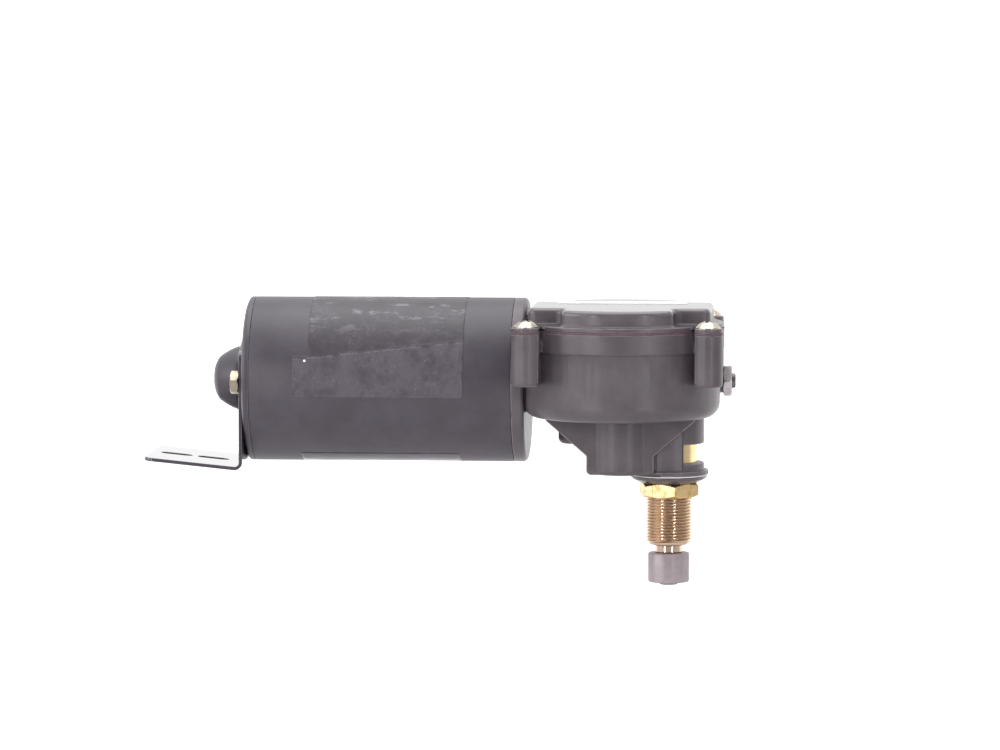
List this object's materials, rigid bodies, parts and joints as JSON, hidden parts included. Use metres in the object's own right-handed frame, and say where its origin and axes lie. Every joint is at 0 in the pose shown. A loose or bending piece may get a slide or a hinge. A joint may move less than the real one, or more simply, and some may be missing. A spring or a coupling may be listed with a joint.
{
  "type": "wiper motor",
  "caption": "Electric wiper motor: cylindrical can, cast gear case with a raised cover, threaded output spindle with a fluted driver, and a slotted foot bracket.",
  "frame": {"origin": "spindle axis at the seat of the spindle nut", "axes": "+Z from the spindle's driver up to the gear case, +X from the motor to the gear case, +Y to the side where the motor stands out behind the wheel"},
  "size_m": [0.2414, 0.0948, 0.1165],
  "materials": {
    "black_paint": "satin black enamel over cast or sheet metal",
    "black_paint_worn": "satin black enamel with a worn patch",
    "gasket_red": "dull red sheet gasket",
    "nickel": "plated steel",
    "label_plate": "bare blank plate",
    "brass": "turned brass",
    "bronze": "sintered bronze",
    "rubber_black": "moulded rubber",
    "driver_grey": "dull grey sintered metal",
    "steel": "ground steel",
    "gear_steel": "cut steel",
    "gear_plastic": "moulded gear plastic",
    "lamination": "stacked electrical steel",
    "copper": "enamelled copper",
    "ferrite": "sintered ferrite",
    "board": "pressed board",
    "carbon": "carbon"
  },
  "bodies": {
    "housing": {"gear_case": "black_paint", "gear_case_cover": "black_paint", "cover_gasket": "gasket_red", "cover_screws": "nickel", "cover_label": "label_plate", "spindle_bush": "brass", "spindle_nut": "brass", "spindle_washer": "rubber_black", "sector_pin": "steel", "sector_clip": "steel", "wheel_pin": "steel", "wheel_thrust_washer": "bronze", "wheel_clip": "steel", "park_switch_plate": "board", "park_contacts": "brass", "motor_can": "black_paint_worn", "magnets": "ferrite", "motor_end_cap": "black_paint", "through_bolts": "steel", "end_nuts": "nickel", "rear_bearing": "bronze", "bearing_retainer": "steel", "front_bearing": "bronze", "worm_end_bush": "bronze", "brush_plate": "board", "brush_holders": "brass", "carbon_brushes": "carbon", "brush_springs": "steel", "thrust_ball": "steel", "thrust_screw": "steel", "thrust_lock_nut": "nickel", "lead_grommet": "rubber_black", "mounting_bracket": "black_paint"},
    "armature": {"worm_shaft": "steel", "armature_core": "lamination", "armature_windings": "copper", "commutator": "copper"},
    "wheel": {"worm_wheel": "gear_plastic", "crank_pin": "steel", "park_ring": "brass", "link_clip": "steel"},
    "link": {"connecting_link": "gear_steel"},
    "output": {"output_shaft": "steel", "shaft_seal": "rubber_black", "driver": "driver_grey", "shaft_clip": "steel", "output_pinion": "gear_steel", "pinion_washer": "steel"},
    "sector": {"sector_gear": "gear_steel", "sector_link_pin": "steel"}
  },
  "joints": [
    {"name": "armature_spin", "type": "hinge", "parent": "housing", "child": "armature", "pos_m": [-0.1, 0.0125, 0.04075], "axis": [1, 0, 0], "continuous": true},
    {"name": "wheel_spin", "type": "hinge", "parent": "housing", "child": "wheel", "pos_m": [-0.0192, -0.006, 0.04075], "axis": [0, 0, 1], "continuous": true},
    {"name": "link_swing", "type": "hinge", "parent": "wheel", "child": "link", "pos_m": [-0.01226, -0.00998, 0.0485], "axis": [0, 0, 1], "continuous": true},
    {"name": "output_swing", "type": "hinge", "parent": "housing", "child": "output", "pos_m": [0, 0, 0], "axis": [0, 0, 1], "range_deg": [-55, 55]},
    {"name": "sector_rock", "type": "hinge", "parent": "housing", "child": "sector", "pos_m": [-0.00201, -0.02442, 0.05325], "axis": [0, 0, 1], "range_deg": [-22.1, 22.1]}
  ],
  "couplings": [
    {"joint": "wheel_spin", "follows": "armature_spin", "ratio": 0.033333},
    {"joint": "link_swing", "follows": "armature_spin", "ratio": -0.033333},
    {"joint": "sector_rock", "follows": "output_swing", "ratio": -0.4}
  ]
}
